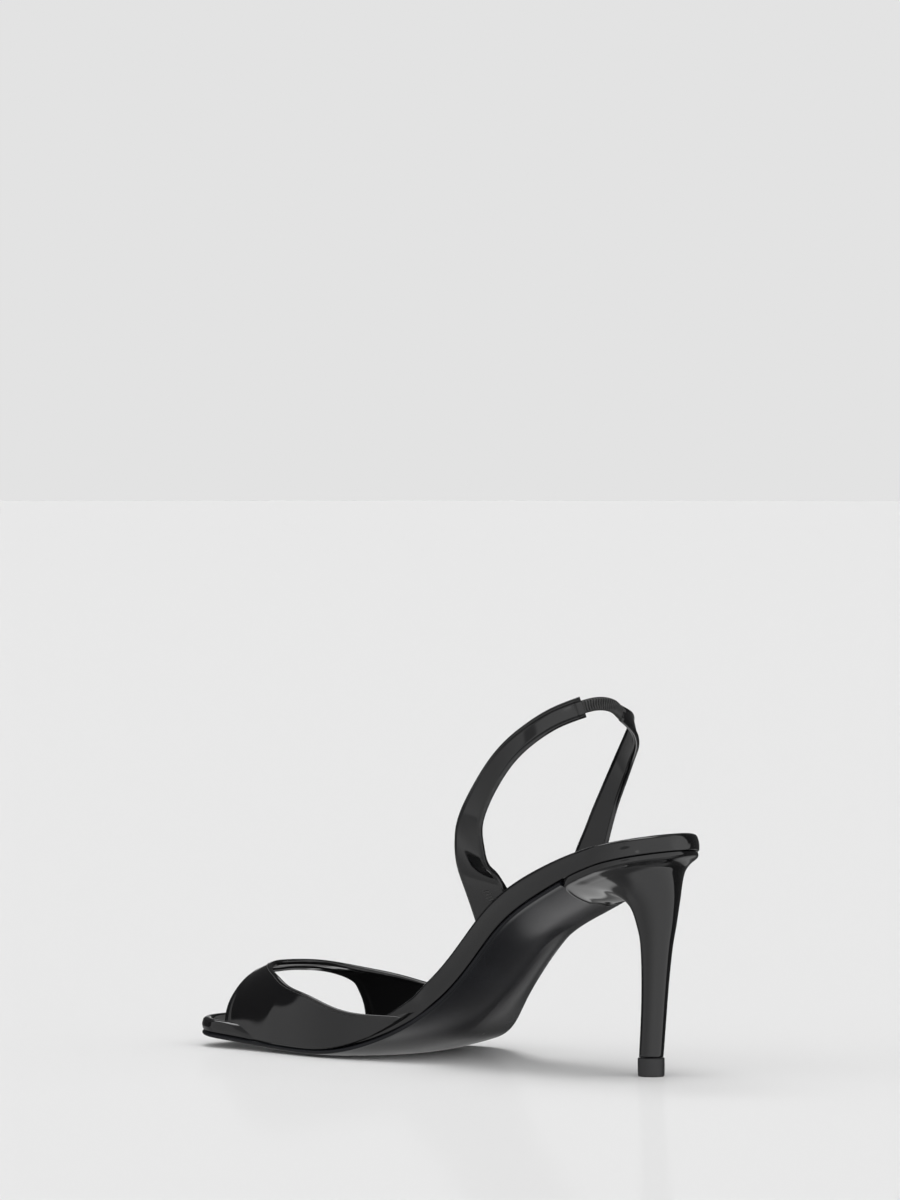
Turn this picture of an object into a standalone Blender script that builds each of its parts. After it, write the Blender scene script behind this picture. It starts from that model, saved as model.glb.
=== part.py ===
# A high-heeled peep-toe slingback sandal for the right foot, built as the pieces a maker joins.
# run: distance forward of the heel back, side: toward the little toe, up: above the floor (all mm)
import bpy
import bmesh
import numpy as np

# overall sizes, mm
SHOE_LENGTH = 225.4
GAP = 0.3
SOLE_EDGE = 1.6
SOCK_THICK = 0.8
SOCK_INSET = 4.7
SOCK_RECESS = 1.3
VAMP_THICK = 1.5
STRAP_THICK = 1.6
ELASTIC_WIDTH = 4.8
ELASTIC_THICK = 1.3
HEEL_LIP_RUN = 41.0
TIP_HEIGHT = 6.6
TOE_SIDE = -8.0
TOE_ROUND_NEAR = 208.0
TOE_ROUND_FAR = 190.0
SEAT_RADIUS = 25.0
RUN_CENTRE = 112.4
SIDE_CENTRE = 5.2

# profile of the footbed: run, height of its top, thickness of the wrapped insole edge
PROFILE = [
    (0, 86.4, 6.2),
    (26, 80.5, 6.8),
    (52, 71.2, 8.4),
    (78, 56.2, 9.0),
    (99, 36.2, 8.8),
    (121, 18.8, 7.2),
    (142, 9.4, 5.2),
    (164, 8.0, 5.0),
    (190, 9.1, 5.0),
    (225.4, 11.2, 4.6),
]

# plan of the sole: run, half width toward the big toe, half width toward the little toe, belly
PLAN = [
    (25, 23.2, 23.4, 8.0),
    (52, 22.6, 24.8, 7.6),
    (78, 20.2, 21.8, 6.4),
    (104, 19.4, 26.0, 5.2),
    (126, 25.0, 41.4, 3.8),
    (140, 29.0, 47.4, 2.8),
    (155, 30.0, 44.4, 2.2),
    (173, 28.6, 38.4, 1.8),
    (190, 27.2, 32.4, 1.4),
    (207, 27.0, 26.6, 0.8),
]

# toe-box arch: run, height of the crown above the sole line, side of the crown, squareness of each side
ARCH = [
    (110, 50.0, 2.0, 2.8, 3.0),
    (140, 43.0, 1.0, 2.8, 3.0),
    (162, 36.6, -1.5, 2.8, 3.1),
    (174, 32.9, -3.0, 2.7, 3.2),
    (184, 30.2, -4.0, 2.6, 3.2),
    (197, 27.2, -5.0, 2.3, 3.0),
    (210, 20.0, -5.0, 2.2, 2.8),
]

# edges of the vamp round the arch: angle from the big toe side, run of the throat, run of the peep edge
VAMP_EDGES = [
    (0, 117.6, 205.3),
    (9, 137.6, 205.9),
    (22, 157.3, 206.2),
    (31, 169.3, 205.9),
    (45, 180.1, 204.8),
    (57, 187.7, 204.1),
    (68, 192.6, 203.8),
    (80, 195.2, 204.2),
    (90, 195.8, 204.4),
    (100, 195.9, 203.0),
    (112, 194.0, 201.2),
    (125, 189.6, 197.9),
    (136, 182.7, 194.6),
    (149, 171.6, 190.8),
    (158, 161.2, 190.0),
    (170, 140.2, 188.8),
    (180, 123.8, 188.2),
]

# centre line of the big-toe-side strap: run, side, up, width
NEAR_STRAP = [
    (73.6, -17.3, 54.6, 19.6),
    (76.0, -17.7, 60.4, 19.2),
    (77.2, -20.4, 66.8, 20.6),
    (76.7, -25.2, 73.8, 22.4),
    (73.5, -30.4, 81.0, 20.8),
    (69.6, -34.0, 88.6, 15.6),
    (64.6, -35.2, 96.8, 11.2),
    (59.3, -33.8, 105.8, 8.8),
    (53.5, -30.8, 114.2, 7.8),
    (47.3, -26.4, 120.8, 7.7),
    (41.3, -20.6, 126.0, 7.6),
    (34.4, -13.4, 129.9, 7.8),
]

# centre line of the little-toe-side strap: run, side, up, width
FAR_STRAP = [
    (62.4, 20.6, 60.8, 17.6),
    (64.6, 21.0, 65.8, 17.0),
    (65.1, 22.1, 73.0, 14.4),
    (63.6, 24.0, 81.0, 12.0),
    (62.3, 26.4, 89.0, 10.4),
    (60.0, 28.2, 97.0, 9.6),
    (55.7, 28.2, 105.0, 9.6),
    (49.4, 25.6, 112.4, 10.0),
    (41.6, 20.4, 118.8, 9.8),
    (35.9, 13.4, 123.6, 9.0),
    (32.9, 4.6, 127.2, 7.2),
]

# centre line of the elastic between the strap ends: run, side, up, width
ELASTIC = [
    (34.0, -13.2, 130.0, ELASTIC_WIDTH),
    (31.9, -8.4, 131.0, ELASTIC_WIDTH),
    (31.2, -4.2, 130.7, ELASTIC_WIDTH),
    (31.6, 0.2, 129.4, ELASTIC_WIDTH),
    (32.8, 4.3, 127.3, ELASTIC_WIDTH),
]

# rings of the heel, top down: run of back, widest place and front, half width,
# squareness of the front, how far it follows the seat, depth under it, belly, height if it doesn't
HEEL_RINGS = [
    (1.0, 24.0, 41.0, 22.6, 9.0, 1.0, 0.0, 0.0, 0.0),
    (1.4, 24.0, 41.0, 22.6, 9.0, 1.0, 1.6, 7.4, 0.0),
    (4.4, 23.5, 39.6, 21.0, 6.0, 1.0, 2.9, 6.8, 0.0),
    (6.8, 22.5, 35.6, 18.4, 4.5, 1.0, 4.8, 5.4, 0.0),
    (6.6, 20.4, 30.0, 15.0, 3.8, 0.9, 6.8, 3.9, 62.0),
    (5.6, 17.0, 24.6, 11.6, 3.3, 0.65, 9.0, 2.4, 60.6),
    (4.8, 13.8, 20.0, 8.8, 3.0, 0.35, 12.4, 1.0, 58.0),
    (4.8, 12.0, 17.2, 6.8, 2.8, 0.0, 0.0, 0.0, 52.0),
    (5.7, 11.4, 16.2, 5.7, 2.6, 0.0, 0.0, 0.0, 46.0),
    (7.2, 11.8, 16.4, 4.8, 2.6, 0.0, 0.0, 0.0, 33.0),
    (8.5, 12.7, 17.0, 4.4, 2.6, 0.0, 0.0, 0.0, 19.0),
    (9.6, 13.8, 17.9, 4.2, 2.6, 0.0, 0.0, 0.0, TIP_HEIGHT + GAP),
]


def natural_spline(rows, column, at):
    """Natural cubic spline through one column of a table, keyed by its first column."""
    knots = np.array([row[0] for row in rows], float)
    values = np.array([row[column] for row in rows], float)
    step = np.diff(knots)
    count = len(knots)
    matrix = np.eye(count)
    right = np.zeros(count)
    for i in range(1, count - 1):
        matrix[i, i - 1] = step[i - 1]
        matrix[i, i] = 2.0 * (step[i - 1] + step[i])
        matrix[i, i + 1] = step[i]
        slope_after = (values[i + 1] - values[i]) / step[i]
        slope_before = (values[i] - values[i - 1]) / step[i - 1]
        right[i] = 6.0 * (slope_after - slope_before)
    bend = np.linalg.solve(matrix, right)
    at = np.clip(np.asarray(at, float), knots[0], knots[-1])
    i = np.clip(np.searchsorted(knots, at) - 1, 0, count - 2)
    before = at - knots[i]
    after = knots[i + 1] - at
    cubic = bend[i] * after ** 3 + bend[i + 1] * before ** 3
    linear_after = values[i] / step[i] - bend[i] * step[i] / 6.0
    linear_before = values[i + 1] / step[i] - bend[i + 1] * step[i] / 6.0
    return cubic / (6.0 * step[i]) + linear_after * after + linear_before * before


def smooth_step(low, high, value):
    part = np.clip((np.asarray(value, float) - low) / (high - low), 0.0, 1.0)
    return part * part * (3.0 - 2.0 * part)


def footbed(run, depth):
    """Run and height of the point at a depth below the footbed, square to the profile."""
    run = np.asarray(run, float)
    slope = natural_spline(PROFILE, 1, run + 0.5) - natural_spline(PROFILE, 1, run - 0.5)
    length = np.sqrt(1.0 + slope ** 2)
    top = natural_spline(PROFILE, 1, run)
    return run + depth * slope / length, top - depth / length


def edge_thickness(run):
    return natural_spline(PROFILE, 2, run)


def half_widths(run):
    """Half widths of the sole, toward the big toe and toward the little toe."""
    run = np.asarray(run, float)
    near = natural_spline(PLAN, 1, run)
    far = natural_spline(PLAN, 2, run)
    back = np.clip(run / SEAT_RADIUS, 0.0, 1.0)
    seat = np.sqrt(1.0 - (1.0 - back) ** 2)
    toe_near = np.clip((run - TOE_ROUND_NEAR) / (SHOE_LENGTH - TOE_ROUND_NEAR), 0.0, 1.0)
    toe_far = np.clip((run - TOE_ROUND_FAR) / (SHOE_LENGTH - TOE_ROUND_FAR), 0.0, 1.0)
    near = (near + TOE_SIDE) * (1.0 - toe_near ** 2.2) ** (1.0 / 2.2) - TOE_SIDE
    far = (far - TOE_SIDE) * (1.0 - toe_far ** 2.2) ** (1.0 / 2.2) + TOE_SIDE
    return near * seat, far * seat


def outline(first, last, count, inset_near, inset_far):
    """Stations and sides of the plan outline, moved inward square to its edge."""
    dense = SHOE_LENGTH * (1.0 - np.cos(np.linspace(0.0, np.pi, 1600))) / 2.0
    near, far = half_widths(dense)
    lines = []
    for side, inset, sign in ((-near, inset_near, 1.0), (far, inset_far, -1.0)):
        run_step = np.gradient(dense)
        side_step = np.gradient(side)
        length = np.hypot(run_step, side_step)
        amount = inset(dense) if callable(inset) else inset
        run_in = dense - sign * amount * side_step / length
        side_in = side + sign * amount * run_step / length
        lines.append((run_in, side_in))
    low = max(first, lines[0][0].min(), lines[1][0].min())
    high = min(last, lines[0][0].max(), lines[1][0].max())
    spread = (1.0 - np.cos(np.linspace(0.0, np.pi, count))) / 2.0
    if first > 1.0:
        spread = np.sin(np.linspace(0.0, np.pi / 2.0, count))
    stations = low + (high - low) * spread
    sides = []
    for run_in, side_in in lines:
        order = np.argsort(run_in, kind="stable")
        sides.append(np.interp(stations, run_in[order], side_in[order]))
    if last >= SHOE_LENGTH:
        middle = 0.5 * (sides[0][-1] + sides[1][-1])
        sides[0][-1] = middle
        sides[1][-1] = middle
    if first <= 1.0:
        middle = 0.5 * (sides[0][0] + sides[1][0])
        sides[0][0] = middle
        sides[1][0] = middle
    return stations, sides[0], sides[1]


def to_metres(run, side, up):
    """Row frame: toe toward -X, little toe toward +Y."""
    run, side, up = np.broadcast_arrays(run, side, up)
    return np.stack([(RUN_CENTRE - run), (side - SIDE_CENTRE), up], axis=-1) * 0.001


def make_object(name, points, faces, material):
    mesh = bpy.data.meshes.new(name)
    mesh.from_pydata([tuple(p) for p in points], [], faces)
    tidy = bmesh.new()
    tidy.from_mesh(mesh)
    bmesh.ops.remove_doubles(tidy, verts=tidy.verts, dist=2e-6)
    bmesh.ops.dissolve_degenerate(tidy, edges=tidy.edges, dist=1e-6)
    bmesh.ops.recalc_face_normals(tidy, faces=tidy.faces)
    tidy.to_mesh(mesh)
    tidy.free()
    mesh.materials.append(material)
    thing = bpy.data.objects.new(name, mesh)
    bpy.context.scene.collection.objects.link(thing)
    return thing


def plate(name, material, first, last, count, columns, layers, top_depth, bottom_depth):
    """A plate that follows the footbed. layers: (inset near, inset far, depth) from top to bottom."""
    points = []
    loops = []
    frames = []
    for inset_near, inset_far, depth in layers:
        stations, near, far = outline(first, last, count, inset_near, inset_far)
        frames.append((stations, near, far))
        edge_runs = np.concatenate([stations, stations[::-1]])
        edge_sides = np.concatenate([near, far[::-1]])
        run, up = footbed(edge_runs, depth(edge_runs))
        loops.append(len(points))
        points.extend(to_metres(run, edge_sides, np.maximum(up, 0.0)))
    size = 2 * count
    faces = []
    square_end = first > 1.0
    for a, b in zip(loops[:-1], loops[1:]):
        for i in range(size - 1 if square_end else size):
            j = (i + 1) % size
            faces.append((a + i, a + j, b + j, b + i))
    ends = []
    for which, depth in ((0, top_depth), (-1, bottom_depth)):
        stations, near, far = frames[which]
        base = loops[which]
        grid = [[base + i for i in range(count)]]
        for c in range(1, columns):
            part = c / columns
            share = 0.5 - 0.5 * np.cos(np.pi * part)
            side = near + (far - near) * share
            run, up = footbed(stations, depth(stations, 2.0 * share - 1.0))
            grid.append([len(points) + i for i in range(count)])
            points.extend(to_metres(run, side, np.maximum(up, 0.0)))
        grid.append([base + size - 1 - i for i in range(count)])
        for left, right in zip(grid[:-1], grid[1:]):
            for i in range(count - 1):
                faces.append((left[i], left[i + 1], right[i + 1], right[i]))
        ends.append([line[0] for line in grid])
    if square_end:
        for c in range(columns):
            faces.append((ends[0][c], ends[0][c + 1], ends[1][c + 1], ends[1][c]))
        faces.append(tuple(loops))
        faces.append(tuple(a + size - 1 for a in loops))
    return make_object(name, points, faces, material)


def ring_loft(name, material, rings, strip_top=False):
    """A closed solid through rings of the same number of points, ends filled from their middles."""
    size = len(rings[0])
    points = [p for ring in rings for p in ring]
    faces = []
    for k in range(len(rings) - 1):
        for i in range(size):
            j = (i + 1) % size
            faces.append((k * size + i, k * size + j, (k + 1) * size + j, (k + 1) * size + i))
    if strip_top:
        for i in range(size // 2):
            faces.append((i, i + 1, (size - i - 1) % size, (size - i) % size))
    for start, ring in ((0, rings[0]), ((len(rings) - 1) * size, rings[-1])):
        if strip_top and start == 0:
            continue
        middle = len(points)
        points.append(np.mean(ring, axis=0))
        for i in range(size):
            faces.append((start + i, start + (i + 1) % size, middle))
    return make_object(name, points, faces, material)


def shell(name, material, outer, inner, edge_round):
    """A wall between two grids, with its four edges filled and slightly rounded."""
    rows, columns = outer.shape[:2]
    points = list(outer.reshape(-1, 3)) + list(inner.reshape(-1, 3))
    faces = []
    for i in range(rows - 1):
        for j in range(columns - 1):
            a = i * columns + j
            faces.append((a, a + 1, a + columns + 1, a + columns))
            b = rows * columns + a
            faces.append((b, b + columns, b + columns + 1, b + 1))
    border = [(0, j) for j in range(columns)]
    border += [(i, columns - 1) for i in range(1, rows)]
    border += [(rows - 1, j) for j in range(columns - 2, -1, -1)]
    border += [(i, 0) for i in range(rows - 2, 0, -1)]
    middle = []
    for i, j in border:
        inward = (min(max(i, 1), rows - 2), min(max(j, 1), columns - 2))
        away = outer[i, j] - outer[inward]
        away = away / max(np.linalg.norm(away), 1e-9)
        push = edge_round if i in (0, rows - 1) else 0.0
        middle.append(len(points))
        points.append(0.5 * (outer[i, j] + inner[i, j]) + push * away)
    for k, (i, j) in enumerate(border):
        ni, nj = border[(k + 1) % len(border)]
        a, b = i * columns + j, ni * columns + nj
        m, n = middle[k], middle[(k + 1) % len(border)]
        faces.append((a, m, n, b))
        faces.append((m, a + rows * columns, b + rows * columns, n))
    return make_object(name, points, faces, material)


def strap_frames(rows, count):
    """Points, outward directions, width directions and widths along a strap."""
    nodes = np.array(rows, float)
    travel = np.concatenate([[0.0], np.cumsum(np.linalg.norm(np.diff(nodes[:, :3], axis=0), axis=1))])
    keyed = [(t,) + tuple(row) for t, row in zip(travel, nodes)]
    along = np.linspace(0.0, travel[-1], count)
    path = np.stack([natural_spline(keyed, c, along) for c in (1, 2, 3)], axis=1)
    width = natural_spline(keyed, 4, along)
    tangent = np.gradient(path, axis=0)
    tangent /= np.linalg.norm(tangent, axis=1)[:, None]
    away = path - np.array([58.0, 0.0, 0.0])
    away[:, 2] = 0.0
    low = (1.0 - smooth_step(70.0, 88.0, path[:, 2]))[:, None]
    square = np.stack([0.0 * path[:, 0], np.sign(path[:, 1]), 0.0 * path[:, 0]], axis=1)
    away /= np.linalg.norm(away, axis=1)[:, None]
    away = low * square + (1.0 - low) * away
    away -= (away * tangent).sum(axis=1)[:, None] * tangent
    away /= np.linalg.norm(away, axis=1)[:, None]
    across = np.cross(tangent, away)
    return path, away, across, width


def strap(name, material, rows, count, thick, corner):
    """A flat band with rounded corners carried along its centre line."""
    path, away, across, width = strap_frames(rows, count)
    rings = []
    for p, n, b, w in zip(path, away, across, width):
        half, deep = 0.5 * w, 0.5 * thick
        shape = [
            (-half + corner, deep), (0.0, deep), (half - corner, deep), (half, deep - corner),
            (half, -deep + corner), (half - corner, -deep), (0.0, -deep), (-half + corner, -deep),
            (-half, -deep + corner), (-half, deep - corner),
        ]
        ring = np.array([p + u * b + v * n for u, v in shape])
        rings.append(to_metres(ring[:, 0], ring[:, 1], ring[:, 2]))
    return ring_loft(name, material, rings)


def heel_ring(row, count, grow=0.0):
    """One ring of the heel: rounded back, squarer front, following the seat near the top."""
    back, widest, front, half, square, follow, depth, swell, height = row
    turn = np.linspace(0.0, 2.0 * np.pi, count, endpoint=False)
    c, s = np.cos(turn), np.sin(turn)
    power = np.where(c > 0.0, 2.0 / square, 1.0)
    reach = np.where(c > 0.0, front - widest + grow, widest - back + grow)
    run = widest + reach * np.sign(c) * np.abs(c) ** power
    side = (half + grow) * np.sign(s) * np.abs(s) ** power
    up = np.full(count, float(height))
    if follow > 0.0:
        share = np.clip(np.abs(side) / half, 0.0, 1.0)
        belly = swell * np.clip(c, 0.0, 1.0) ** 0.5 * (1.0 - share ** 2)
        seat_run, seat_up = footbed(run, edge_thickness(run) + GAP + depth + belly)
        run = follow * seat_run + (1.0 - follow) * run
        up = follow * seat_up + (1.0 - follow) * height
    return to_metres(run, side, up)


def arch_point(run, angle):
    """Point of the vamp's outside on the toe-box arch."""
    near, far = half_widths(run)
    crown = natural_spline(ARCH, 2, run)
    rise = natural_spline(ARCH, 1, run)
    square_near = 2.0 / natural_spline(ARCH, 3, run)
    square_far = 2.0 / natural_spline(ARCH, 4, run)
    square = np.where(angle < 0.5 * np.pi, square_near, square_far)
    base_run, base_up = footbed(run, edge_thickness(run))
    c, s = np.cos(angle), np.sin(angle)
    reach = np.where(c > 0.0, near + crown, far - crown)
    side = crown - reach * np.sign(c) * np.abs(c) ** square
    wall = 1.0 - np.abs(np.clip(s, 0.0, 1.0)) ** square
    return run + (base_run - run) * wall, side, base_up + rise * np.clip(s, 0.0, 1.0) ** square


def vamp_grids(rows, columns):
    """Outside and inside grids of the vamp, between the throat and the peep edge."""
    angles = 90.0 - 90.0 * np.cos(np.linspace(0.0, np.pi, columns))
    angles = 0.45 * angles + 0.55 * np.linspace(0.0, 180.0, columns)
    throat = natural_spline(VAMP_EDGES, 1, angles)
    peep = natural_spline(VAMP_EDGES, 2, angles)
    share = np.linspace(0.0, 1.0, rows)[:, None]
    run = throat[None] + (peep - throat)[None] * share
    turn = np.radians(np.broadcast_to(angles, run.shape))
    outer = np.stack(arch_point(run, turn), axis=-1)
    forward = np.stack(arch_point(run + 0.2, turn), axis=-1)
    backward = np.stack(arch_point(run - 0.2, turn), axis=-1)
    ahead = np.stack(arch_point(run, np.clip(turn + 0.01, 0.0, np.pi)), axis=-1)
    behind = np.stack(arch_point(run, np.clip(turn - 0.01, 0.0, np.pi)), axis=-1)
    normal = np.cross(ahead - behind, forward - backward)
    normal /= np.linalg.norm(normal, axis=-1)[..., None]
    middle = np.array([170.0, 0.0, 0.0])
    flip = np.sign(((outer - middle) * normal).sum(axis=-1))[..., None]
    inner = outer - normal * flip * VAMP_THICK
    for grid in (outer, inner):
        floor = footbed(grid[..., 0], edge_thickness(grid[..., 0]))[1]
        grid[..., 2] = np.maximum(grid[..., 2], floor)
    return (to_metres(outer[..., 0], outer[..., 1], outer[..., 2]),
            to_metres(inner[..., 0], inner[..., 1], inner[..., 2]))


def vamp_tuck(throat, peep):
    """How far the insole edge steps in to make room for the vamp wrapped over it."""
    def amount(run):
        room = VAMP_THICK + GAP + 0.1
        behind = smooth_step(throat - 11.0, throat - 2.0, run)
        before = 1.0 - smooth_step(peep + 1.0, peep + 3.5, run)
        return room * behind * before
    return amount


def inset_by(tuck, inset):
    """The tuck of one side plus a steady inset."""
    return lambda run: tuck(run) + inset


def edge_depth(part, extra):
    """Depth under the footbed, as a part of the edge thickness plus an extra."""
    return lambda run, across=0.0: part * edge_thickness(run) + extra


def sole_depth(run, part):
    """Depth of the outsole's underside, with its belly in the middle."""
    belly = natural_spline(PLAN, 3, run) * (1.0 - np.abs(part) ** 2)
    return edge_thickness(run) + GAP + SOLE_EDGE + belly


def slot_cutter(name, rows, depth):
    """Block round the buried end of a strap, with the joint clearance all round."""
    path, away, across, width = strap_frames(rows, 60)
    down = (path[1] - path[0]) / np.linalg.norm(path[1] - path[0])
    chain = [(path[0] - down * GAP, away[0], across[0], width[0])]
    for p, n, b, w in zip(path[1:], away[1:], across[1:], width[1:]):
        if p[2] < depth:
            chain.append((p, n, b, w))
    rings = []
    for p, n, b, w in chain:
        half = 0.5 * w + GAP
        deep = 0.5 * STRAP_THICK + GAP
        corners = ((-half, deep), (half, deep), (half, -deep), (-half, -deep))
        ring = np.array([p + u * b + v * n for u, v in corners])
        rings.append(to_metres(ring[:, 0], ring[:, 1], ring[:, 2]))
    cutter = ring_loft(name, patent_insole, rings)
    cutter.hide_render = True
    cutter.display_type = "WIRE"
    return cutter


def build_material(name, colour, rough, coat):
    material = bpy.data.materials.new(name)
    material.use_nodes = True
    shader = material.node_tree.nodes["Principled BSDF"]
    shader.inputs["Base Color"].default_value = (*colour, 1.0)
    shader.inputs["Roughness"].default_value = rough
    shader.inputs["Coat Weight"].default_value = coat
    return material


for old in list(bpy.data.objects):
    bpy.data.objects.remove(old, do_unlink=True)

patent = build_material("patent_upper", (0.012, 0.012, 0.013), 0.12, 0.8)
patent_insole = build_material("patent_insole", (0.013, 0.013, 0.014), 0.14, 0.8)
patent_heel = build_material("patent_heel", (0.012, 0.012, 0.013), 0.12, 0.8)
strap_leather = build_material("patent_strap", (0.012, 0.012, 0.013), 0.14, 0.8)
far_leather = build_material("patent_strap_far", (0.012, 0.012, 0.013), 0.14, 0.8)
sole_leather = build_material("lacquered_sole", (0.02, 0.02, 0.023), 0.35, 0.3)
lining = build_material("sock_leather", (0.03, 0.03, 0.03), 0.6, 0.0)
rubber = build_material("heel_tip_rubber", (0.03, 0.03, 0.032), 0.6, 0.0)
woven = build_material("elastic_webbing", (0.02, 0.02, 0.02), 0.85, 0.0)

# wrapped insole with two slots that take the strap ends
near_tuck = vamp_tuck(VAMP_EDGES[0][1], VAMP_EDGES[0][2])
far_tuck = vamp_tuck(VAMP_EDGES[-1][1], VAMP_EDGES[-1][2])
insole_layers = []
for inset, part, extra in (
    (3.4, 0.0, 1.3),
    (3.1, 0.0, 0.2),
    (2.3, 0.0, 0.0),
    (1.0, 0.0, 0.2),
    (0.25, 0.0, 0.9),
    (0.0, 0.0, 1.8),
    (0.0, 1.0, -0.9),
    (0.35, 1.0, 0.0),
):
    insole_layers.append((inset_by(near_tuck, inset), inset_by(far_tuck, inset), edge_depth(part, extra)))
insole = plate(
    "insole", patent_insole, 0.0, SHOE_LENGTH, 70, 4,
    insole_layers, edge_depth(0.0, SOCK_RECESS), edge_depth(1.0, 0.0),
)
for name, rows in (("slot_near", NEAR_STRAP), ("slot_far", FAR_STRAP)):
    cut = insole.modifiers.new(name, "BOOLEAN")
    cut.operation = "DIFFERENCE"
    cut.solver = "EXACT"
    cut.object = slot_cutter(name, rows, 72.0)

# sock lining inside the straps
sock_top = SOCK_RECESS - GAP - SOCK_THICK
sock_layers = []
for inset, extra in (
    (SOCK_INSET + 0.3, sock_top),
    (SOCK_INSET, sock_top + 0.3),
    (SOCK_INSET, SOCK_RECESS - GAP),
):
    sock_layers.append((inset_by(near_tuck, inset), inset_by(far_tuck, inset), edge_depth(0.0, extra)))
plate(
    "sock_lining", lining, 0.0, SHOE_LENGTH, 46, 3,
    sock_layers, edge_depth(0.0, sock_top), edge_depth(0.0, SOCK_RECESS - GAP),
)

# outsole from the heel lip to the toe
outsole_layers = []
for inset, extra in ((0.5, 0.0), (0.1, 0.3), (0.0, 1.1), (0.9, SOLE_EDGE)):
    outsole_layers.append((inset, inset, edge_depth(1.0, GAP + extra)))
plate(
    "outsole", sole_leather, HEEL_LIP_RUN + GAP + 0.1, SHOE_LENGTH, 60, 8,
    outsole_layers, edge_depth(1.0, GAP), sole_depth,
)

# heel and its tip
ring_loft("heel", patent_heel, [heel_ring(row, 36) for row in HEEL_RINGS], strip_top=True)
tip_foot = HEEL_RINGS[-1]
tip_rings = []
for up, grow in ((TIP_HEIGHT, 0.1), (TIP_HEIGHT - 0.4, 0.4), (0.4, 0.3), (0.0, 0.0)):
    tip_rings.append(heel_ring(tip_foot[:8] + (up,), 32, grow))
ring_loft("heel_tip", rubber, tip_rings)

# vamp, straps and elastic
outer, inner = vamp_grids(9, 49)
shell("vamp", patent, outer, inner, 0.0002)
strap("strap_near", strap_leather, NEAR_STRAP, 44, STRAP_THICK, 0.35)
strap("strap_far", far_leather, FAR_STRAP, 38, STRAP_THICK, 0.35)
strap("elastic", woven, ELASTIC, 12, ELASTIC_THICK, 0.3)
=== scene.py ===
# The looks of a high-heeled peep-toe slingback sandal in black patent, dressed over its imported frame.
# run: mm forward of the heel's back, side: mm toward the little toe, up: mm above the floor.
import math
import bmesh
import bpy
import numpy as np
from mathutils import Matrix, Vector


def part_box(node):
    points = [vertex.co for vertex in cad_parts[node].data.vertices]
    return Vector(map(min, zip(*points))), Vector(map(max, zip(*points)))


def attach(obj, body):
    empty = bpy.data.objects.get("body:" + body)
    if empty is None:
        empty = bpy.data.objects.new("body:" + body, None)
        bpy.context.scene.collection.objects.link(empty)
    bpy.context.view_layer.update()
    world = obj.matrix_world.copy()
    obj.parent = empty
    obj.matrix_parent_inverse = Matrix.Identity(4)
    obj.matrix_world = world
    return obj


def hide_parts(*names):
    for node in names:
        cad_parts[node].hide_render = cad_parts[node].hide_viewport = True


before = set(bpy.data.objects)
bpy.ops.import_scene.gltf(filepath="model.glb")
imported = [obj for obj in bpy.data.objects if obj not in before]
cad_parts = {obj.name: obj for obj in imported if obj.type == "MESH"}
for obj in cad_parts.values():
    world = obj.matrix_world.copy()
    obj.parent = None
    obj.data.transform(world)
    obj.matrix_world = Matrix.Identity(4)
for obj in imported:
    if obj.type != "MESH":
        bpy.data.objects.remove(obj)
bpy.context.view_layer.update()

# the last: every piece below is cut to it
last = {
    "length": 225.4,
    "toeSide": -8.0,
    "toeRoundNear": 208.0,
    "toeRoundFar": 190.0,
    "seatRadius": 25.0,
    # run, height of the footbed, thickness of the wrapped edge
    "profile": [(0, 86.4, 6.2), (26, 80.5, 6.8), (52, 71.2, 8.4), (78, 56.2, 9.0), (99, 36.2, 8.8),
                (121, 18.8, 7.2), (142, 9.4, 5.2), (164, 8.0, 5.0), (190, 9.1, 5.0), (225.4, 11.2, 4.6)],
    # run, half width toward the big toe, half width toward the little toe, belly under the sole
    "plan": [(25, 23.2, 23.4, 8.0), (52, 22.6, 24.8, 7.6), (78, 20.2, 21.8, 6.4), (104, 19.4, 26.0, 5.2),
             (126, 25.0, 41.4, 3.8), (140, 29.0, 47.4, 2.8), (155, 30.0, 44.4, 2.2), (173, 28.6, 38.4, 1.8),
             (190, 27.2, 32.4, 1.4), (207, 26.9, 26.6, 0.8)],
    # run, rise of the toe box, side of its crown, squareness toward the big toe and the little toe
    "arch": [(110, 50, 2, 2.8, 3), (140, 43, 1, 2.8, 3), (162, 36.6, -1.5, 2.8, 3.1),
             (174, 32.9, -3, 2.7, 3.2), (184, 30.2, -4, 2.6, 3.2), (197, 27.2, -5, 2.3, 3),
             (210, 20, -5, 2.2, 2.8)],
}
heelTipBack = 9.2  # run of the heel tip's back, mm
tipLow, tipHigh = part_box("heel_tip")
runCentre = 1000.0 * tipHigh.x + heelTipBack
sideCentre = -500.0 * (tipLow.y + tipHigh.y)


def splineThrough(table, column, at):
    # natural cubic spline through one column, keyed by the first: second slopes from a tridiagonal system
    knots = np.array([row[0] for row in table], float)
    values = np.array([row[column] for row in table], float)
    step = np.diff(knots)
    lean = np.diff(values) / step
    system = np.eye(len(knots))
    pull = np.zeros(len(knots))
    for k in range(1, len(knots) - 1):
        system[k, k - 1:k + 2] = step[k - 1], 2.0 * (step[k - 1] + step[k]), step[k]
        pull[k] = 6.0 * (lean[k] - lean[k - 1])
    bend = np.linalg.solve(system, pull)
    at = np.clip(np.asarray(at, float), knots[0], knots[-1])
    k = np.clip(np.searchsorted(knots, at) - 1, 0, len(knots) - 2)
    before, after, wide = at - knots[k], knots[k + 1] - at, step[k]
    curve = (bend[k] * after ** 3 + bend[k + 1] * before ** 3) / (6.0 * wide)
    startPart = (values[k] / wide - bend[k] * wide / 6.0) * after
    endPart = (values[k + 1] / wide - bend[k + 1] * wide / 6.0) * before
    return curve + startPart + endPart


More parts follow.
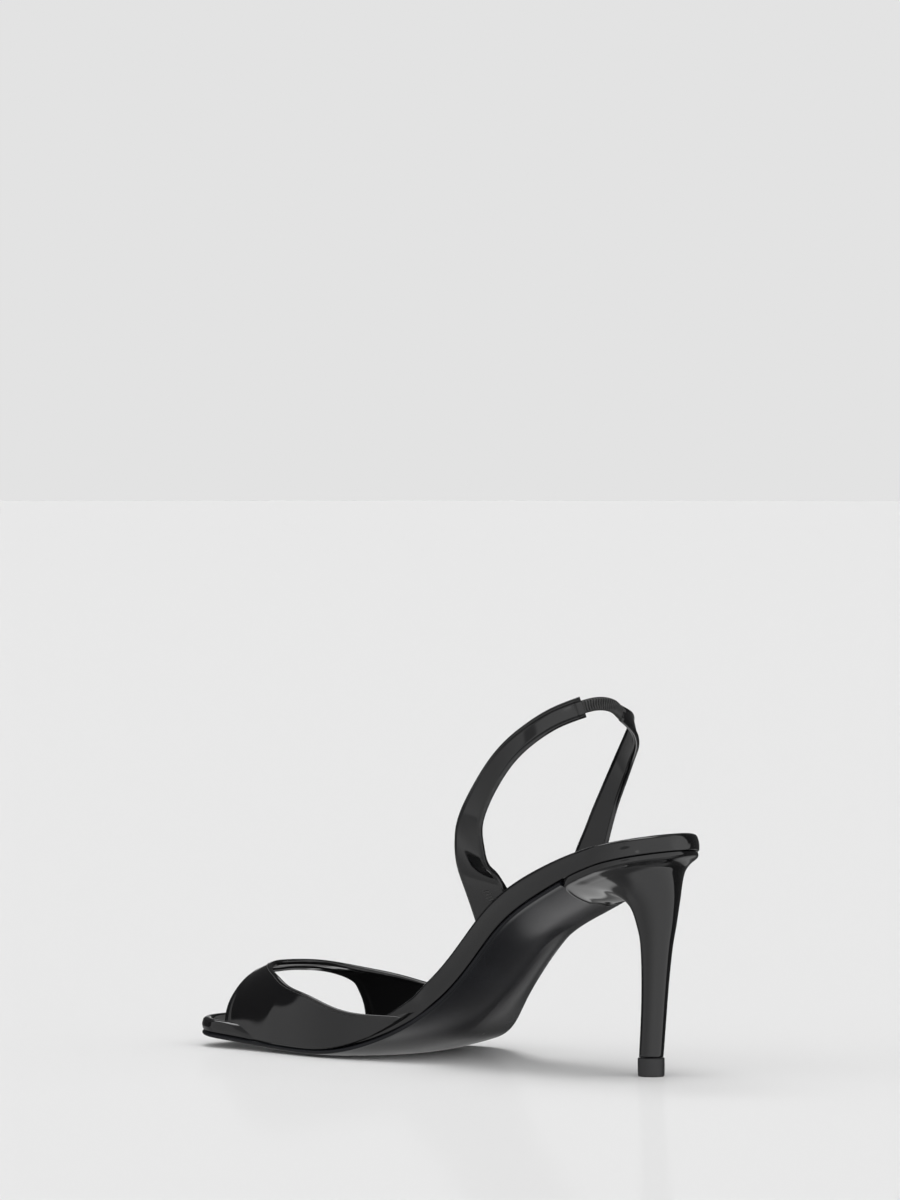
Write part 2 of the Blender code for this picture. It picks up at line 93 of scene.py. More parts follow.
def easeBetween(low, high, value):
    # 0 below low, 1 above high, a smooth S between
    part = np.clip((np.asarray(value, float) - low) / (high - low), 0.0, 1.0)
    return part * part * (3.0 - 2.0 * part)


def softTrough(value, middle, width):
    # a bell of height 1 round the middle, for grooves, ridges and creases
    return np.exp(-((np.asarray(value, float) - middle) / width) ** 2)


def footbedPoint(run, depth):
    # the point at a depth below the footbed's profile, measured square to it
    run = np.asarray(run, float)
    slope = splineThrough(last["profile"], 1, run + 0.5) - splineThrough(last["profile"], 1, run - 0.5)
    length = np.sqrt(1.0 + slope ** 2)
    return run + depth * slope / length, splineThrough(last["profile"], 1, run) - depth / length


def edgeDepth(run):
    # thickness of the wrapped insole edge
    return splineThrough(last["profile"], 2, run)


def halfWidths(run):
    # half widths of the sole: the plan's spline, closed by a circle at the seat and superellipses at the toe
    run = np.asarray(run, float)
    seat = np.sqrt(1.0 - (1.0 - np.clip(run / last["seatRadius"], 0.0, 1.0)) ** 2)
    widths = []
    for column, start, sign in ((1, last["toeRoundNear"], 1.0), (2, last["toeRoundFar"], -1.0)):
        part = np.clip((run - start) / (last["length"] - start), 0.0, 1.0)
        close = (1.0 - part ** 2.2) ** (1.0 / 2.2)
        tip = sign * last["toeSide"]
        widths.append(((splineThrough(last["plan"], column, run) + tip) * close - tip) * seat)
    return widths


def rowPlace(run, side, up):
    # millimetres of the last to metres of the frame: the toe points along -X
    run, side, up = np.broadcast_arrays(run, side, up)
    return np.stack([runCentre - run, side - sideCentre, up], axis=-1) * 0.001


def soleOutline(count):
    # the plan's edge as one closed loop: near side toe-ward, far side back, stations bunched at both ends
    turn = np.linspace(0.0, np.pi, count)
    stations = last["length"] * (1.0 - np.cos(turn)) / 2.0
    near, far = halfWidths(stations)
    run = np.concatenate([stations, stations[-2:0:-1]])
    side = np.concatenate([-near, far[-2:0:-1]])
    side[0] = 0.0
    side[count - 1] = last["toeSide"]
    runStep = np.roll(run, -1) - np.roll(run, 1)
    sideStep = np.roll(side, -1) - np.roll(side, 1)
    length = np.hypot(runStep, sideStep)
    return run, side, -sideStep / length, runStep / length


def gridPiece(name, points, finish, node=None, edge=None):
    # one mesh from a grid of points that closes on itself across; uv: distance along and across it in metres
    rows, columns = points.shape[:2]
    index = np.arange(rows * columns).reshape(rows, columns)
    index = np.hstack([index, index[:, :1]])
    quads = np.stack([index[:-1, :-1], index[1:, :-1], index[1:, 1:], index[:-1, 1:]], axis=-1).reshape(-1, 4)
    mesh = bpy.data.meshes.new(name)
    mesh.from_pydata(points.reshape(-1, 3).tolist(), [], quads.tolist())
    down = np.zeros((rows, columns))
    down[1:] = np.cumsum(np.linalg.norm(np.diff(points, axis=0), axis=2), axis=0)
    over = np.zeros((rows, columns))
    over[:, 1:] = np.cumsum(np.linalg.norm(np.diff(points, axis=1), axis=2), axis=1)
    flat = np.stack([down, over], axis=-1).reshape(-1, 2)
    layer = mesh.uv_layers.new(name="surface")
    layer.data.foreach_set("uv", flat[quads.reshape(-1)].astype(np.float32).ravel())
    if edge is None:
        edge = np.zeros((rows, columns))
    # per-point values: edge wear on the patent pieces, painted shade of the gathers on the elastic
    wear = mesh.attributes.new("edgeWearAndGatherShade", "FLOAT", "POINT")
    wear.data.foreach_set("value", np.broadcast_to(edge, (rows, columns)).astype(np.float32).ravel())
    tidy = bmesh.new()
    tidy.from_mesh(mesh)
    bmesh.ops.remove_doubles(tidy, verts=tidy.verts, dist=1e-7)
    bmesh.ops.dissolve_degenerate(tidy, edges=tidy.edges, dist=1e-8)
    bmesh.ops.recalc_face_normals(tidy, faces=tidy.faces)
    tidy.to_mesh(mesh)
    tidy.free()
    mesh.polygons.foreach_set("use_smooth", [True] * len(mesh.polygons))
    mesh.materials.append(finish)
    piece = bpy.data.objects.new(name, mesh)
    bpy.context.scene.collection.objects.link(piece)
    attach(piece, "root")
    if node:
        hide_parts(node)
    print("made", name, len(mesh.polygons), "faces")


def finishNodes(name, base, rough, coat=0.0, coatRough=0.03, specular=0.5):
    # a Principled material with its Object coordinates ready
    material = bpy.data.materials.new(name)
    material.use_nodes = True
    nodes, links = material.node_tree.nodes, material.node_tree.links
    shader = nodes["Principled BSDF"]
    shader.inputs["Base Color"].default_value = (*base, 1.0)
    shader.inputs["Roughness"].default_value = rough
    shader.inputs["Coat Weight"].default_value = coat
    shader.inputs["Coat Roughness"].default_value = coatRough
    shader.inputs["Specular IOR Level"].default_value = specular
    where = nodes.new("ShaderNodeTexCoord")
    return material, nodes, links, shader, where


def noiseFrom(nodes, links, source, scale, detail=2.0, rough=0.5):
    # a noise texture's value, 0 to 1, at a scale per metre
    noise = nodes.new("ShaderNodeTexNoise")
    noise.inputs["Scale"].default_value = scale
    noise.inputs["Detail"].default_value = detail
    noise.inputs["Roughness"].default_value = rough
    links.new(source, noise.inputs["Vector"])
    return noise.outputs["Fac"]


def rampBetween(nodes, links, value, low, high, start=0.0, end=1.0):
    # maps low..high of a value to start..end
    span = nodes.new("ShaderNodeMapRange")
    span.inputs["From Min"].default_value = low
    span.inputs["From Max"].default_value = high
    span.inputs["To Min"].default_value = start
    span.inputs["To Max"].default_value = end
    links.new(value, span.inputs["Value"])
    return span.outputs["Result"]


def mathNode(nodes, links, operation, first, second=None):
    # one Math node; each input is a number or a socket
    node = nodes.new("ShaderNodeMath")
    node.operation = operation
    for place, value in ((0, first), (1, second)):
        if isinstance(value, (int, float)):
            node.inputs[place].default_value = value
        elif value is not None:
            links.new(value, node.inputs[place])
    return node.outputs[0]


def mixColour(nodes, links, factor, first, second):
    # first where the factor is 0, second where it is 1
    mix = nodes.new("ShaderNodeMix")
    mix.data_type = "RGBA"
    mix.inputs["A"].default_value = (*first, 1.0)
    mix.inputs["B"].default_value = (*second, 1.0)
    links.new(factor, mix.inputs["Factor"])
    return mix.outputs["Result"]


def stackBumps(nodes, links, shader, heights):
    # bumps one over another: (height socket, strength, depth in metres)
    normal = None
    for height, strength, depth in heights:
        bump = nodes.new("ShaderNodeBump")
        bump.inputs["Strength"].default_value = strength
        bump.inputs["Distance"].default_value = depth
        links.new(height, bump.inputs["Height"])
        if normal is not None:
            links.new(normal, bump.inputs["Normal"])
        normal = bump.outputs["Normal"]
    links.new(normal, shader.inputs["Normal"])
    links.new(normal, shader.inputs["Coat Normal"])


# black patent: a lacquered film over leather, with orange peel, a soft swell and rubbed edges
patentLook = {
    "black": (0.0045, 0.0045, 0.005),
    "rubbed": (0.022, 0.022, 0.023),
    "coat": 0.12,
    "peelScale": 1500.0,
    "peelDepth": 0.000006,
    "swellScale": 55.0,
    "swellDepth": 0.00012,
    "hazeScale": 34.0,
    "scuffScale": 420.0,
}


def patentFinish(name, swell, rough):
    look = patentLook
    material, nodes, links, shader, where = finishNodes(name, look["black"], rough, look["coat"], 0.02)
    place = where.outputs["Object"]
    wear = nodes.new("ShaderNodeAttribute")
    wear.attribute_name = "edgeWearAndGatherShade"
    patches = noiseFrom(nodes, links, place, look["scuffScale"], 4.0, 0.6)
    rubbed = rampBetween(nodes, links, patches, 0.45, 0.7)
    rubbedAt = mathNode(nodes, links, "MULTIPLY", wear.outputs["Fac"], rubbed)
    colour = mixColour(nodes, links, rubbedAt, look["black"], look["rubbed"])
    links.new(colour, shader.inputs["Base Color"])
    haze = noiseFrom(nodes, links, place, look["hazeScale"], 3.0)
    hazeRough = rampBetween(nodes, links, haze, 0.3, 0.7, rough * 0.8, rough * 1.35)
    links.new(hazeRough, shader.inputs["Roughness"])
    peel = noiseFrom(nodes, links, place, look["peelScale"], 1.0)
    broad = noiseFrom(nodes, links, place, look["swellScale"], 1.5, 0.4)
    heights = [(broad, 0.35 * swell, look["swellDepth"]), (peel, 0.25, look["peelDepth"])]
    stackBumps(nodes, links, shader, heights)
    return material


def lacquerFinish(name):
    # satin lacquered sole leather: bluish black, faint brush streaks along the foot, duller at the tread
    material, nodes, links, shader, where = finishNodes(name, (0.007, 0.0075, 0.0095), 0.26, specular=0.2)
    place = where.outputs["Object"]
    stretch = nodes.new("ShaderNodeMapping")
    stretch.inputs["Scale"].default_value = (0.16, 1.0, 0.6)
    links.new(place, stretch.inputs["Vector"])
    streaks = noiseFrom(nodes, links, stretch.outputs["Vector"], 900.0, 3.0)
    patches = noiseFrom(nodes, links, place, 60.0, 4.0)
    faded = rampBetween(nodes, links, patches, 0.35, 0.7)
    colour = mixColour(nodes, links, faded, (0.006, 0.0065, 0.0085), (0.010, 0.0105, 0.013))
    links.new(colour, shader.inputs["Base Color"])
    split = nodes.new("ShaderNodeSeparateXYZ")
    links.new(place, split.inputs["Vector"])
    treadRough = rampBetween(nodes, links, split.outputs["X"], -0.05, 0.045, 0.24, 0.21)
    patchRough = rampBetween(nodes, links, patches, 0.3, 0.7, -0.03, 0.05)
    links.new(mathNode(nodes, links, "ADD", treadRough, patchRough), shader.inputs["Roughness"])
    stackBumps(nodes, links, shader, [(streaks, 0.15, 0.00003)])
    return material


def sockFinish(name):
    # black kid lining: fine pebbled grain, low gloss
    material, nodes, links, shader, where = finishNodes(name, (0.014, 0.014, 0.014), 0.5, specular=0.4)
    place = where.outputs["Object"]
    cells = nodes.new("ShaderNodeTexVoronoi")
    cells.inputs["Scale"].default_value = 1400.0
    links.new(place, cells.inputs["Vector"])
    patches = noiseFrom(nodes, links, place, 45.0, 3.0)
    links.new(mixColour(nodes, links, patches, (0.010, 0.010, 0.010), (0.020, 0.020, 0.020)),
              shader.inputs["Base Color"])
    links.new(rampBetween(nodes, links, patches, 0.3, 0.7, 0.42, 0.58), shader.inputs["Roughness"])
    stackBumps(nodes, links, shader, [(cells.outputs["Distance"], 0.35, 0.00006)])
    return material


def rubberFinish(name):
    # moulded heel tip: matte dark grey with a fine even texture
    material, nodes, links, shader, where = finishNodes(name, (0.022, 0.022, 0.023), 0.55)
    place = where.outputs["Object"]
    fine = noiseFrom(nodes, links, place, 2600.0, 2.0)
    patches = noiseFrom(nodes, links, place, 300.0, 3.0)
    links.new(mixColour(nodes, links, patches, (0.014, 0.014, 0.015), (0.024, 0.024, 0.025)),
              shader.inputs["Base Color"])
    links.new(rampBetween(nodes, links, patches, 0.3, 0.7, 0.48, 0.62), shader.inputs["Roughness"])
    stackBumps(nodes, links, shader, [(fine, 0.3, 0.00003)])
    return material


def threadFinish(name, base):
    # twisted thread: fine slanted strands, little gloss
    material, nodes, links, shader, where = finishNodes(name, base, 0.55)
    strands = nodes.new("ShaderNodeTexWave")
    strands.inputs["Scale"].default_value = 900.0
    strands.inputs["Distortion"].default_value = 0.6
    strands.bands_direction = "DIAGONAL"
    links.new(where.outputs["UV"], strands.inputs["Vector"])
    lighter = tuple(2.2 * c for c in base)
    strand = strands.outputs["Fac"]
    links.new(mixColour(nodes, links, strand, base, lighter), shader.inputs["Base Color"])
    links.new(rampBetween(nodes, links, strand, 0.0, 1.0, 0.5, 0.7), shader.inputs["Roughness"])
    stackBumps(nodes, links, shader, [(strand, 0.5, 0.00006)])
    return material


patentVamp = patentFinish("patentVamp", 0.7, 0.06)
patentRim = patentFinish("patentRim", 0.6, 0.09)
patentHeel = patentFinish("patentHeel", 0.35, 0.07)
patentSling = patentFinish("patentSling", 1.0, 0.08)
lacqueredSole = lacquerFinish("lacqueredSole")
kidSock = sockFinish("kidSock")
tipRubber = rubberFinish("tipRubber")
blackThread = threadFinish("blackThread", (0.012, 0.012, 0.012))
ladderThread = threadFinish("ladderThread", (0.035, 0.035, 0.035))
print("finishes ready")


plateMiddle = {"back": 14.0, "toe": 12.0}  # the plates' rings shrink to a line this far from both ends


def depthAt(depth, run, share):
    # a ring's depth is a number, or a function of the run and the ring's share of the way out
    return depth(run, share) if callable(depth) else depth


def plateRings(rings, count, tuckNear=None, tuckFar=None, first=0.0):
    # for each ring, top to bottom: the outline moved in by an inset, shrunk to the middle by its share,
    # and laid at a depth under the footbed
    run, side, inRun, inSide = soleOutline(count)
    layers = []
    for share, inset, depth in rings:
        moveIn = inset + np.zeros_like(run)
        if tuckNear:
            low = np.clip(depthAt(depth, run, share) / edgeDepth(run), 0.0, 1.0)
            moveIn += np.where(np.arange(len(run)) < count, tuckNear(run, low), tuckFar(run, low))
        ringRun = run + inRun * moveIn
        ringSide = side + inSide * moveIn
        middleRun = np.clip(ringRun, plateMiddle["back"], last["length"] - plateMiddle["toe"])
        nearHalf, farHalf = halfWidths(middleRun)
        middleSide = 0.5 * (farHalf - nearHalf)
        ringRun = np.maximum(middleRun + (ringRun - middleRun) * share, first)
        ringSide = middleSide + (ringSide - middleSide) * share
        placeRun, up = footbedPoint(ringRun, depthAt(depth, ringRun, share))
        layers.append(rowPlace(placeRun, ringSide, np.maximum(up, 0.0)))
    return np.stack(layers, axis=0)


insoleShape = {
    "count": 420,
    "recess": 1.3,  # the sock lining lies this deep
    "recessInset": 3.6,
    "welt": [(3.3, 0.7), (3.1, 0.25), (2.8, 0.05), (2.3, 0.0)],  # inset and depth round the recess
    "topRound": 1.6,
    "bottomRound": 0.9,
    "wallSwell": 0.22,
    "bottomInset": 1.2,
    "wearRings": slice(9, 16),  # the rings of the top corner, which rub
    "vampRoom": 1.9,
    # run of the throat, runs between which the edge comes out from under the vamp, lean of that line
    "near": (117.6, 180.0, 191.0, 15.0),
    "far": (123.8, 189.2, 191.7, 0.0),
}


def vampTuck(throat, outFrom, outTo, lean):
    # the rim steps in where the vamp wraps over it, and comes out again: its foot first, its top further on
    def amount(run, low):
        back = run - lean * (1.0 - low)
        return (insoleShape["vampRoom"] * easeBetween(throat - 11.0, throat - 2.0, run)
                * (1.0 - easeBetween(outFrom, outTo, back)))
    return amount


tuckNear = vampTuck(*insoleShape["near"])
tuckFar = vampTuck(*insoleShape["far"])


def insoleRings():
    # flat recessed top, raised soft welt, rounded top corner, wall with a slight swell, rounded bottom corner
    shape = insoleShape
    top, bottom = shape["topRound"], shape["bottomRound"]
    rings = [(share, shape["recessInset"], shape["recess"]) for share in (0.0, 0.35, 0.7, 0.92, 1.0)]
    rings += [(1.0, inset, depth) for inset, depth in shape["welt"]]
    for turn in np.linspace(0.12, 1.0, 10) * np.pi / 2.0:
        rings.append((1.0, top * (1.0 - math.sin(turn)), top * (1.0 - math.cos(turn))))
    for part in np.linspace(0.12, 1.0, 9):
        rings.append((1.0, -shape["wallSwell"] * math.sin(math.pi * part),
                      lambda run, share, part=part: top + (edgeDepth(run) - bottom - top) * part))
    for turn in np.linspace(0.15, 1.0, 6) * np.pi / 2.0:
        rings.append((1.0, bottom * (1.0 - math.cos(turn)),
                      lambda run, share, turn=turn: edgeDepth(run) - bottom * (1.0 - math.sin(turn))))
    for share in (0.95, 0.7, 0.35, 0.0):
        rings.append((share, shape["bottomInset"], lambda run, share: edgeDepth(run)))
    return rings


insoleGrid = plateRings(insoleRings(), insoleShape["count"], tuckNear, tuckFar)
insoleWear = np.zeros(insoleGrid.shape[:2])
insoleWear[insoleShape["wearRings"]] = 0.8
gridPiece("insoleWrap", insoleGrid, patentRim, "insole", insoleWear)

sockShape = {"count": 300, "inset": 4.6, "top": 0.2, "bottom": 1.1, "round": 0.35}


def sockRings():
    # a thin sheet with a soft cut edge
    shape = sockShape
    rings = [(share, shape["inset"], shape["top"]) for share in (0.0, 0.3, 0.6, 0.85, 0.97, 1.0)]
    for turn in np.linspace(0.2, 1.0, 5) * np.pi / 2.0:
        rings.append((1.0, shape["inset"] - shape["round"] * math.sin(turn),
                      shape["top"] + shape["round"] * (1.0 - math.cos(turn))))
    rings.append((1.0, shape["inset"] - shape["round"], shape["bottom"]))
    rings += [(share, shape["inset"], shape["bottom"]) for share in (0.9, 0.5, 0.0)]
    return rings


sockGrid = plateRings(sockRings(), sockShape["count"], tuckNear, tuckFar)
gridPiece("sockLining", sockGrid, kidSock, "sock_lining")

soleShape = {
    "count": 420,
    "gap": 0.3,
    "edge": 1.6,
    "topInset": 0.6,
    "bottomInset": 0.9,
    "heelLip": 39.4,
}


def soleDepth(extra):
    # depth of the sole's underside: edge, then a belly that is full in the middle and nothing at the edge
    def depth(run, share):
        belly = splineThrough(last["plan"], 3, run) * (1.0 - share ** 2)
        return edgeDepth(run) + soleShape["gap"] + extra + belly
    return depth


def soleRings():
    # flat top, half-round edge, belly
    shape = soleShape
    radius = 0.5 * shape["edge"]
    rings = [(share, shape["topInset"], lambda run, share: edgeDepth(run) + shape["gap"])
             for share in (0.0, 0.4, 0.8, 1.0)]
    for turn in np.linspace(-0.85, 0.9, 13) * np.pi / 2.0:
        rings.append((1.0, radius * (1.0 - math.cos(turn)), lambda run, share, turn=turn:
                      edgeDepth(run) + shape["gap"] + radius * (1.0 + math.sin(turn))))
    for share in (0.985, 0.96, 0.92, 0.86, 0.78, 0.68, 0.56, 0.42, 0.28, 0.14, 0.0):
        rings.append((share, shape["bottomInset"], soleDepth(shape["edge"])))
    return rings


soleGrid = plateRings(soleRings(), soleShape["count"], first=soleShape["heelLip"])
gridPiece("lacqueredOutsole", soleGrid, lacqueredSole, "outsole")


# the heel: rings from the seat down, each with a rounded back and a squarer front
heelShape = {
    "around": 144,
    "down": 150,
    "gap": 0.3,
    "cornerPull": 0.1,  # draws the points toward the two front corners
    # ring, run of back, widest place and front, half width, squareness of the front,
    # how far it follows the seat, depth under it, belly, height if it doesn't
    "rings": [
        (0, 1.0, 24.0, 41.0, 22.6, 9.0, 1.0, 0.0, 0.0, 62.0),
        (1, 1.4, 24.0, 41.0, 22.6, 9.0, 1.0, 1.6, 7.4, 62.0),
        (2, 4.4, 23.5, 39.6, 21.0, 9.0, 1.0, 2.9, 6.8, 62.0),
        (3, 6.8, 22.5, 35.6, 18.4, 8.0, 1.0, 4.8, 5.4, 62.0),
        (4, 6.6, 20.4, 30.0, 15.0, 7.0, 0.9, 6.8, 3.9, 62.0),
        (5, 5.6, 17.0, 24.6, 11.6, 5.6, 0.65, 9.0, 2.4, 60.6),
        (6, 4.8, 13.8, 20.0, 8.8, 4.4, 0.36, 12.4, 1.0, 58.0),
        (7, 4.8, 12.0, 17.2, 6.8, 3.6, 0.13, 14.0, 0.3, 51.4),
        (8, 5.7, 11.4, 16.2, 5.7, 3.0, 0.03, 14.0, 0.0, 45.6),
        (9, 7.2, 11.8, 16.4, 4.8, 2.6, 0.0, 14.0, 0.0, 33.0),
        (10, 8.5, 12.7, 17.0, 4.4, 2.6, 0.0, 14.0, 0.0, 19.0),
        (11, 9.6, 13.8, 17.9, 4.2, 2.6, 0.0, 14.0, 0.0, 6.9),
    ],
}


def heelSurface(at, turn, grow=0.0, height=None):
    # ring: widest + reach*cos, half*sin, with superellipse powers in front
    # up: the seat's height less a depth near the top, mixed into a height of its own further down
    back, widest, front, half, square, follow, depth, swell, free = (
        splineThrough(heelShape["rings"], column, at) for column in range(1, 10))
    follow = np.clip(follow, 0.0, 1.0)
    c, s = np.cos(turn), np.sin(turn)
    power = np.where(c > 0.0, 2.0 / square, 1.0)
    reach = np.where(c > 0.0, front - widest + grow, widest - back + grow)
    run = widest + reach * np.sign(c) * np.abs(c) ** power
    side = (half + grow) * np.sign(s) * np.abs(s) ** power
    share = np.clip(np.abs(side) / half, 0.0, 1.0)
    belly = swell * np.clip(c, 0.0, 1.0) ** 0.5 * (1.0 - share ** 2)
    seatRun, seatUp = footbedPoint(run, edgeDepth(run) + heelShape["gap"] + depth + belly)
    run = follow * seatRun + (1.0 - follow) * run
    up = follow * seatUp + (1.0 - follow) * (free if height is None else height)
    return run, side, up


def heelGrid():
    # all rings from the seat to the foot, closed on their middles at both ends
    at = np.concatenate([[0.0, 0.0, 0.0], np.linspace(0.0, 11.0, heelShape["down"]), [11.0, 11.0]])[:, None]
    shrink = np.concatenate([[0.0, 0.5, 0.96], np.ones(heelShape["down"]), [0.5, 0.0]])[:, None]
    turn = np.linspace(0.0, 2.0 * np.pi, heelShape["around"], endpoint=False)[None]
    turn = turn - heelShape["cornerPull"] * np.sin(4.0 * turn)
    run, side, up = heelSurface(at, turn)
    midRun = run.mean(axis=1, keepdims=True)
    run, side = midRun + (run - midRun) * shrink, side * shrink
    seatUp = footbedPoint(run, edgeDepth(run) + heelShape["gap"])[1]
    up = np.where((shrink < 1.0) & (at < 1.0), seatUp, up)
    return rowPlace(run, side, up)


gridPiece("heelCover", heelGrid(), patentHeel, "heel")


tipShape = {
    "around": 96,
    # height, growth past the heel's foot, share of the way out from the middle
    "rings": [(6.6, 0.1, 0.0), (6.6, 0.1, 0.6), (6.6, 0.1, 1.0), (6.52, 0.28, 1.0), (6.35, 0.37, 1.0),
              (6.1, 0.4, 1.0), (4.0, 0.4, 1.0), (2.0, 0.38, 1.0), (0.7, 0.34, 1.0), (0.3, 0.28, 1.0),
              (0.08, 0.14, 1.0), (0.0, 0.0, 1.0), (0.0, 0.0, 0.6), (0.0, 0.0, 0.0)],
}


def tipGrid():
    # the heel's foot ring, a hair larger, with soft rims top and bottom
    levels, grow, shrink = (column[:, None] for column in np.array(tipShape["rings"]).T)
    turn = np.linspace(0.0, 2.0 * np.pi, tipShape["around"], endpoint=False)[None]
    run, side, up = heelSurface(np.full_like(levels, 11.0), turn, grow, levels)
    midRun = run.mean(axis=1, keepdims=True)
    return rowPlace(midRun + (run - midRun) * shrink, side * shrink, up)


gridPiece("heelTipBlock", tipGrid(), tipRubber, "heel_tip")


# the vamp: the toe-box arch between the throat and the peep edge
vampShape = {
    "around": 260,
    "thick": 1.5,
    "turnedEdge": 2.6,  # width of the turned-in edge, mm
    "turnedSwell": 0.16,
    "stitchAt": 1.9,  # the stitch row's distance from the throat edge
    "grooveDepth": 0.2,
    "turnedStep": 0.35,  # how proud the turned-in edge stands inside
    "edgeSteps": [0.0, 0.4, 0.8, 1.2, 1.5, 1.7, 1.9, 2.1, 2.3, 2.6, 3.0, 3.5, 4.0],
    "drawIn": 2.2,  # how far the near wall draws in toward the peep edge
    # angle from the big-toe side, run of the throat, run of the peep edge
    "edges": [
        (0, 117.6, 205.3), (9, 137.6, 205.9), (22, 157.3, 206.2), (31, 169.3, 205.9), (45, 180.1, 204.8),
        (57, 187.7, 204.1), (68, 192.6, 203.8), (80, 195.2, 204.2), (90, 195.8, 204.4), (100, 195.9, 203.0),
        (112, 194.0, 201.2), (125, 189.6, 197.9), (136, 182.7, 194.6), (149, 171.6, 190.8),
        (158, 161.2, 190.0), (170, 140.2, 188.8), (180, 123.8, 188.2),
    ],
}


def drawnIn(run):
    # the near wall's move inward: grows with the way from run 178 to 204, to the power 1.4
    return vampShape["drawIn"] * np.clip((run - 178.0) / 26.0, 0.0, 1.1) ** 1.4


def archPoint(run, turn):
    # superellipse from the near rim over the crown to the far rim, standing on the sole line
    near, far = halfWidths(run)
    rise, crown = splineThrough(last["arch"], 1, run), splineThrough(last["arch"], 2, run)
    squareNear, squareFar = splineThrough(last["arch"], 3, run), splineThrough(last["arch"], 4, run)
    square = 2.0 / np.where(turn < 0.5 * np.pi, squareNear, squareFar)
    baseRun, baseUp = footbedPoint(run, edgeDepth(run))
    c, s = np.cos(turn), np.clip(np.sin(turn), 0.0, 1.0)
    side = crown - np.where(c > 0.0, near + crown, far - crown) * np.sign(c) * np.abs(c) ** square
    lift = s ** square
    side = side + drawnIn(run) * np.clip(c, 0.0, 1.0) ** 0.5
    return np.stack([run + (baseRun - run) * (1.0 - lift), side, baseUp + rise * lift], axis=-1)


def vampFrame(run, turn):
    # the arch point and its outward normal, from differences along and around
    point = archPoint(run, turn)
    forward = archPoint(run + 0.2, turn) - archPoint(run - 0.2, turn)
    before, after = np.clip(turn - 0.01, 0.0, np.pi), np.clip(turn + 0.01, 0.0, np.pi)
    around = archPoint(run, after) - archPoint(run, before)
    normal = np.cross(around, forward)
    normal /= np.linalg.norm(normal, axis=-1)[..., None]
    outward = np.sign(((point - np.array([170.0, 0.0, 0.0])) * normal).sum(axis=-1))[..., None]
    return point, normal * outward


def vampTurns(count):
    # degrees from the near to the far foot, even steps mixed with ones bunched at both feet
    share = np.linspace(0.0, 1.0, count)
    return 0.55 * 180.0 * share + 0.45 * (90.0 - 90.0 * np.cos(np.pi * share))


def vampGrid():
    # round the wall's section: outside from peep to throat, over the lip, inside back, round the peep lip
    shape = vampShape
    degrees = vampTurns(shape["around"])[:, None]
    throat, peep = splineThrough(shape["edges"], 1, degrees), splineThrough(shape["edges"], 2, degrees)
    length = peep - throat
    lip = 0.5 * shape["thick"]
    fine = np.array(shape["edgeSteps"])[None]
    across = np.linspace(0.0, 1.0, 34)[None, 1:-1]
    room = np.minimum(fine.max(), 0.42 * length)
    fine = fine / fine.max() * room
    fromThroat = np.concatenate([fine, room + (length - 2.0 * room) * across, length - fine[:, ::-1]], axis=1)
    edgeAt = np.minimum(fromThroat, length - fromThroat)
    fade = easeBetween(3.0, 9.0, degrees) * easeBetween(3.0, 9.0, 180.0 - degrees)
    turned = shape["turnedEdge"]
    swell = shape["turnedSwell"] * (1.0 - easeBetween(turned - 0.5, turned + 0.3, edgeAt))
    groove = shape["grooveDepth"] * softTrough(fromThroat, shape["stitchAt"], 0.28)
    outHeight = fade * (swell - groove)
    inStep = shape["turnedStep"] * (1.0 - easeBetween(turned - 0.25, turned + 0.1, edgeAt)) * fade
    lipTurn = np.linspace(0.0, np.pi, 11)[None, 1:-1]
    zero = np.zeros_like(length)
    parts = [
        (fromThroat[:, ::-1], lip + outHeight[:, ::-1]),
        (zero - lip * np.sin(lipTurn) * 0.9, lip * np.cos(lipTurn) + zero),
        (fromThroat, -lip - inStep),
        (length + lip * np.sin(lipTurn) * 0.9, -lip * np.cos(lipTurn) + zero),
    ]
    along, height = (np.concatenate(part, axis=1) for part in zip(*parts))
    run = throat + along
    turn = np.radians(np.broadcast_to(degrees, run.shape))
    point, normal = vampFrame(run, turn)
    place = point + normal * (height - lip)[..., None]
    soleLine = footbedPoint(place[..., 0], edgeDepth(place[..., 0]))[1]
    place[..., 2] = np.maximum(place[..., 2], soleLine)
    wear = 1.0 - easeBetween(0.0, 1.4, np.minimum(np.abs(along), np.abs(length - along)))
    grid = rowPlace(place[..., 0], place[..., 1], place[..., 2])
    # close both foot ends on their own middle
    ends = [grid[k:k + 1].mean(axis=1, keepdims=True) + 0.0 * grid[:1] for k in (0, len(grid) - 1)]
    grid = np.concatenate([ends[0], grid, ends[1]])
    wear = np.concatenate([wear[:1], wear, wear[-1:]])
    return grid, wear


vampPoints, vampWear = vampGrid()
gridPiece("patentVampWrap", vampPoints, patentVamp, "vamp", vampWear)


def tubeAlong(path, normal, radius, sides):
    # a round thread along the path: radius*(cos, sin) in the plane of its normal and binormal, ends closed
    tangent = np.gradient(path, axis=0)
    tangent /= np.linalg.norm(tangent, axis=1)[:, None]
    normal = normal - (normal * tangent).sum(axis=1)[:, None] * tangent
    normal /= np.linalg.norm(normal, axis=1)[:, None]
    across = np.cross(tangent, normal)
    turn = np.linspace(0.0, 2.0 * np.pi, sides, endpoint=False)
    ring = np.cos(turn)[None, :, None] * normal[:, None] + np.sin(turn)[None, :, None] * across[:, None]
    tube = path[:, None] + ring * np.asarray(radius)[:, None, None]
    ends = [np.broadcast_to(path[k], tube[:1].shape) for k in (0, -1)]
    return np.concatenate([ends[0], tube, ends[1]])


stitchShape = {"pitch": 2.5, "radius": 0.2, "perStitch": 14, "lift": 0.06, "dip": 0.27, "sides": 8}


